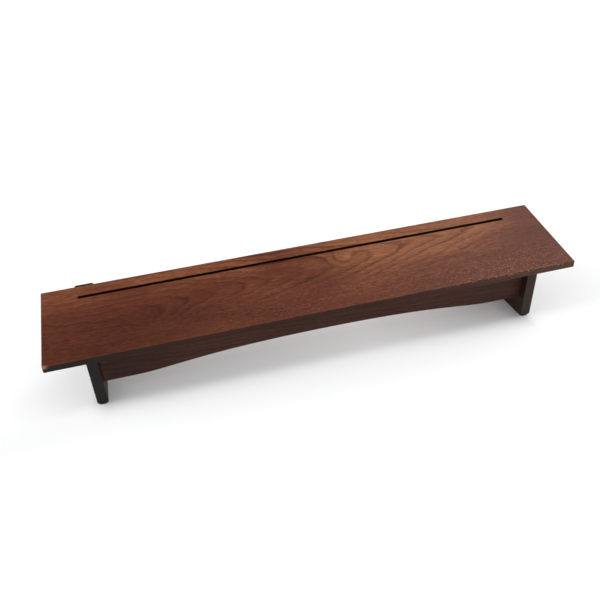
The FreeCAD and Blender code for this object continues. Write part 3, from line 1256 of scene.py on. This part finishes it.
@dataclass(frozen=True)
class TopBoard:
    """The leaning top board with its card groove."""

    figure: Figure = Figure(
        pith_depth=0.01, pith_line=0.047, drift=0.1, bend=0.02, bend_reach=0.09,
        taper=0.29, taper_loss=0.13, pitch=0.0082, wander=0.006,
        swirl_place=(0.345, 0.086, 0.0), swirl_reach=(0.0145, 0.0092, 1.0), swirl_rise=0.0112,
    )
    spots: tuple[Spot, ...] = (
        Spot((0.062, 0.036, 0.0), (0.11, 0.036, 1.0), -0.3),
        Spot((0.3, 0.0, 0.0), (0.35, 0.028, 1.0), -0.09),
        Spot((0.352, 0.087, 0.0), (0.006, 0.005, 1.0), 0.22),
        Spot((0.15, 0.08, 0.0), (0.09, 0.03, 1.0), -0.16),
        Spot((0.285, 0.085, 0.0), (0.05, 0.03, 1.0), -0.15),
        Spot((0.43, 0.085, 0.0), (0.11, 0.034, 1.0), 0.19),
        Spot((0.585, 0.085, 0.0), (0.04, 0.045, 1.0), -0.22),
    )
    extras: Extras = Extras()

    def build(self) -> None:
        """Stains the board."""
        lie = lie_of("top_board", Grain.LENGTHWISE)
        dress("top_board", WALNUT_STAIN.material("top_board", lie, self.figure, self.spots, self.extras))


@dataclass(frozen=True)
class Member:
    """One stained member under the board."""

    node: str
    grain: Grain
    stain: Stain
    spots: tuple[Spot, ...] = ()


APRON_SHADE_AND_GLUE_SPOTS = (
    # painted shade: the apron's left end, next to the left leg, is darker
    Spot((0.0, 0.02, 0.0), (0.08, 1.0, 1.0), -0.3),
    # a pale, unstained strip at the very end, smeared with glue
    Spot((0.001, 0.02, 0.0), (0.007, 1.0, 1.0), 0.55),
)


@dataclass(frozen=True)
class Base:
    """The two legs, the arched apron and the rear rail."""

    members: tuple[Member, ...] = (
        Member("left_leg", Grain.UPRIGHT, SHADED_LEFT_LEG_STAIN),
        Member("right_leg", Grain.UPRIGHT, LIT_RIGHT_LEG_STAIN),
        Member("front_apron", Grain.LENGTHWISE, DARK_STAIN, APRON_SHADE_AND_GLUE_SPOTS),
        Member("rear_rail", Grain.LENGTHWISE, DARK_STAIN),
    )
    pitch: float = 0.0045
    log_step: float = 1.7

    def build(self) -> None:
        """Stains each member, cut from another stretch of the log."""
        for number, member in enumerate(self.members):
            figure = Figure(
                pith_depth=0.05, pith_line=-0.03, drift=0.02, taper=0.04, pitch=self.pitch, wander=0.003,
                shift=self.log_step * (number + 1),
            )
            lie = lie_of(member.node, member.grain)
            dress(member.node, member.stain.material(member.node, lie, figure, member.spots))


@dataclass(frozen=True)
class Joinery:
    """What holds the stand together out of sight: cleats, glue blocks, dowels and screws."""

    cleats: tuple[str, ...] = ("left_cleat", "right_cleat")
    blocks: tuple[str, ...] = ("glue_block_left", "glue_block_centre", "glue_block_right")
    dowels: tuple[str, ...] = ("apron_dowels", "rail_dowels")
    screws: dict[str, Grain] = field(default_factory=lambda: {
        "cleat_top_screws": Grain.UPRIGHT, "cleat_leg_screws": Grain.LENGTHWISE,
    })
    ring_pitch: float = 0.0028
    log_step: float = 0.37

    def build(self) -> None:
        """Finishes every hidden piece."""
        number = 0
        for nodes, grain, timber in (
            (self.cleats, Grain.FRONT_TO_BACK, SPRUCE),
            (self.blocks, Grain.LENGTHWISE, SPRUCE),
            (self.dowels, Grain.LENGTHWISE, BEECH),
        ):
            for node in nodes:
                number += 1
                figure = Figure(
                    pith_depth=0.03, pith_line=-0.02, drift=0.03, taper=0.05, pitch=self.ring_pitch,
                    wander=0.0015, shift=self.log_step * number,
                )
                dress(node, timber.material(node, lie_of(node, grain), figure))
        for node, axis in self.screws.items():
            dress(node, ZINC.material(node, lie_of(node, axis)))


@dataclass(frozen=True)
class Pads:
    """The four foot pads and the small pad on the rear edge."""

    nodes: tuple[str, ...] = (
        "front_left_foot_pad", "front_right_foot_pad", "rear_left_foot_pad", "rear_right_foot_pad",
        "rear_edge_pad",
    )

    def build(self) -> None:
        """Finishes each pad in rubber."""
        for node in self.nodes:
            dress(node, BLACK_RUBBER.material(node, lie_of(node, Grain.LENGTHWISE)))


# ---------------------------------------------------------------- studio


@dataclass(frozen=True)
class Softbox:
    """A rectangular studio light, aimed at the middle of the stand."""

    name: str
    place: tuple[float, float, float]
    width: float
    height: float
    power: float
    tint: Colour = (1.0, 1.0, 1.0)

    def build(self, target: Vector) -> None:
        """Makes the light.

        Args:
            target: What it is aimed at.
        """
        lamp = bpy.data.lights.new(self.name, "AREA")
        lamp.shape = "RECTANGLE"
        lamp.size, lamp.size_y = self.width, self.height
        lamp.energy = self.power
        lamp.color = self.tint
        light = bpy.data.objects.new(self.name, lamp)
        light.location = self.place
        light.rotation_euler = (target - Vector(self.place)).to_track_quat("-Z", "Y").to_euler()
        bpy.context.scene.collection.objects.link(light)
        LOG.info("%s: %.1f W", self.name, self.power)


@dataclass(frozen=True)
class Studio:
    """A pale floor that glows as painted light, in an even room, with a long strip of light overhead and
    a lamp at the right rear.
    """

    floor_side: float = 8.0
    floor_colour: Colour = (0.66, 0.665, 0.67)
    # painted light: how strongly the paper glows across the stand, dimmed next to the legs as painted
    # shade
    floor_glow: dict[float, float] = field(default_factory=lambda: {
        -0.34: 0.51, -0.265: 0.47, -0.248: 0.14, -0.22: 0.23, -0.18: 0.25, -0.05: 0.31, 0.06: 0.38,
        0.15: 0.29, 0.225: 0.18, 0.25: 0.05, 0.262: 0.38,
    })
    far_glow: float = 0.4
    glow_span: float = 0.4
    glow_inner: float = 0.036
    glow_outer: float = 0.09
    paper_mottle: float = 3.0
    paper_tooth: float = 900.0
    paper_contrast: float = 0.985
    room_light: float = 0.56
    side_light: float = 2.1
    side_inner: float = 0.5
    side_outer: float = 0.85
    strip_light: float = 2.6
    strip_lean: float = math.radians(11.0)
    strip_inner: float = 0.08
    strip_outer: float = 0.14
    dim_light: float = 0.12
    dim_side: tuple[float, float, float] = (-0.35, 0.62, 0.70)
    dim_inner: float = math.radians(22.0)
    dim_outer: float = math.radians(62.0)
    room_seen: float = 0.92
    rear: Softbox = Softbox("rear_softbox", (1.15, 1.05, 1.35), 0.9, 0.7, 5.0)

    def floor_material(self) -> bpy.types.Material:
        """Makes matt white studio paper that glows as painted light, which lifts the shadow under the
        stand; next to the legs the glow is dimmed as painted shade.

        Returns:
            The material.
        """
        material = new_material("studio_paper")
        graph = Graph(material.node_tree)
        place = graph.add("ShaderNodeTexCoord").outputs["Object"]
        mottle = graph.noise(graph.vector("MULTIPLY", place, (self.paper_mottle,) * 3), detail=2.0)
        tooth = graph.noise(graph.vector("MULTIPLY", place, (self.paper_tooth,) * 3), detail=1.0)
        darker = tuple(self.paper_contrast * share for share in self.floor_colour)
        colour = graph.blend(mottle, self.floor_colour, darker)
        rough = graph.sum(0.85, (mottle, 0.1))
        paper = satin_surface(graph, colour, rough, tooth, gloss=0.2, depth=0.00002)
        # painted light: the paper glows, with painted shade where the glow is dimmed near the stand
        stops = {(across / self.glow_span + 1) / 2: glow for across, glow in self.floor_glow.items()}
        x, y, _ = graph.split(place)
        lit = graph.ramp(graph.math("MULTIPLY_ADD", x, 0.5 / self.glow_span, 0.5), stops)
        far = graph.between(graph.math("ABSOLUTE", y), self.glow_inner, self.glow_outer)
        graph.feed(paper.inputs["Emission Color"], graph.blend(far, lit, (self.far_glow,) * 3))
        paper.inputs["Emission Strength"].default_value = 1.0
        return material

    def floor(self) -> None:
        """Lays the floor at the height of the feet."""
        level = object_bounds()[0].z
        half = self.floor_side / 2
        mesh = bpy.data.meshes.new("floor")
        corners = [(-half, -half, level), (half, -half, level), (half, half, level), (-half, half, level)]
        mesh.from_pydata(corners, [], [(0, 1, 2, 3)])
        mesh.materials.append(self.floor_material())
        plane = bpy.data.objects.new("floor", mesh)
        bpy.context.scene.collection.objects.link(plane)
        plane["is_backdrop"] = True

    def room(self) -> None:
        """Fills the room with light that is dim towards one side. What is seen of it is pale all over."""
        world = bpy.data.worlds.new("studio_room")
        world.use_nodes = True
        graph = Graph(world.node_tree)
        glow = graph.add("ShaderNodeBackground")
        seen = graph.add("ShaderNodeLightPath").outputs["Is Camera Ray"]
        ahead = graph.vector("NORMALIZE", graph.add("ShaderNodeTexCoord").outputs["Generated"])
        aligned = graph.vector("DOT_PRODUCT", ahead, tuple(Vector(self.dim_side).normalized()))
        given = graph.between(
            aligned, math.cos(self.dim_outer), math.cos(self.dim_inner), self.room_light, self.dim_light
        )
        across = graph.math("ABSOLUTE", graph.split(ahead)[0])
        upright = (0.0, math.cos(self.strip_lean), math.sin(self.strip_lean))
        off_strip = graph.math("ABSOLUTE", graph.vector("DOT_PRODUCT", ahead, upright))
        strip = graph.between(off_strip, self.strip_inner, self.strip_outer, 1.0, 0.0)
        sides = graph.between(across, self.side_inner, self.side_outer)
        given = graph.sum(given, (sides, self.side_light), (strip, self.strip_light))
        kept = graph.product(given, graph.math("SUBTRACT", 1.0, seen))
        graph.feed(glow.inputs["Strength"], graph.math("MULTIPLY_ADD", seen, self.room_seen, kept))
        output = graph.add("ShaderNodeOutputWorld")
        graph.feed(output.inputs["Surface"], glow.outputs[0])
        bpy.context.scene.world = world

    def build(self) -> None:
        """Sets up the floor, the room and the lights."""
        low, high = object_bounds()
        self.floor()
        self.room()
        self.rear.build((low + high) / 2)
        view = bpy.context.scene.view_settings
        view.view_transform = "Standard"
        view.look = "None"


@dataclass(frozen=True)
class Viewpoint:
    """A camera held a little askew, above the left front of the stand."""

    place: tuple[float, float, float] = (-0.1701, -0.7744, 0.5003)
    heading: float = math.radians(11.51)
    dip: float = math.radians(29.44)
    roll: float = math.radians(5.37)
    lens_mm: float = 46.67
    sensor_mm: float = 36.0

    def build(self) -> None:
        """Makes the camera and looks through it."""
        ahead = Vector((
            math.sin(self.heading) * math.cos(self.dip),
            math.cos(self.heading) * math.cos(self.dip),
            -math.sin(self.dip),
        ))
        level = Vector((math.cos(self.heading), -math.sin(self.heading), 0.0))
        right = level * math.cos(self.roll) + ahead.cross(level) * math.sin(self.roll)
        up = right.cross(ahead)
        lens = bpy.data.cameras.new("camera")
        lens.lens = self.lens_mm
        lens.sensor_width = self.sensor_mm
        camera = bpy.data.objects.new("camera", lens)
        camera.matrix_world = (
            Matrix.Translation(self.place) @ Matrix((right, up, -ahead)).transposed().to_4x4()
        )
        bpy.context.scene.collection.objects.link(camera)
        bpy.context.scene.camera = camera


def main() -> None:
    """Builds the camera, the studio and each sub-assembly in order."""
    logging.basicConfig(level=logging.INFO, format="%(name)s: %(message)s")
    for part in (Viewpoint(), TopBoard(), Base(), Joinery(), Pads(), Studio()):
        part.build()
        LOG.info("%s is built", type(part).__name__)


if __name__ == "__main__":
    main()
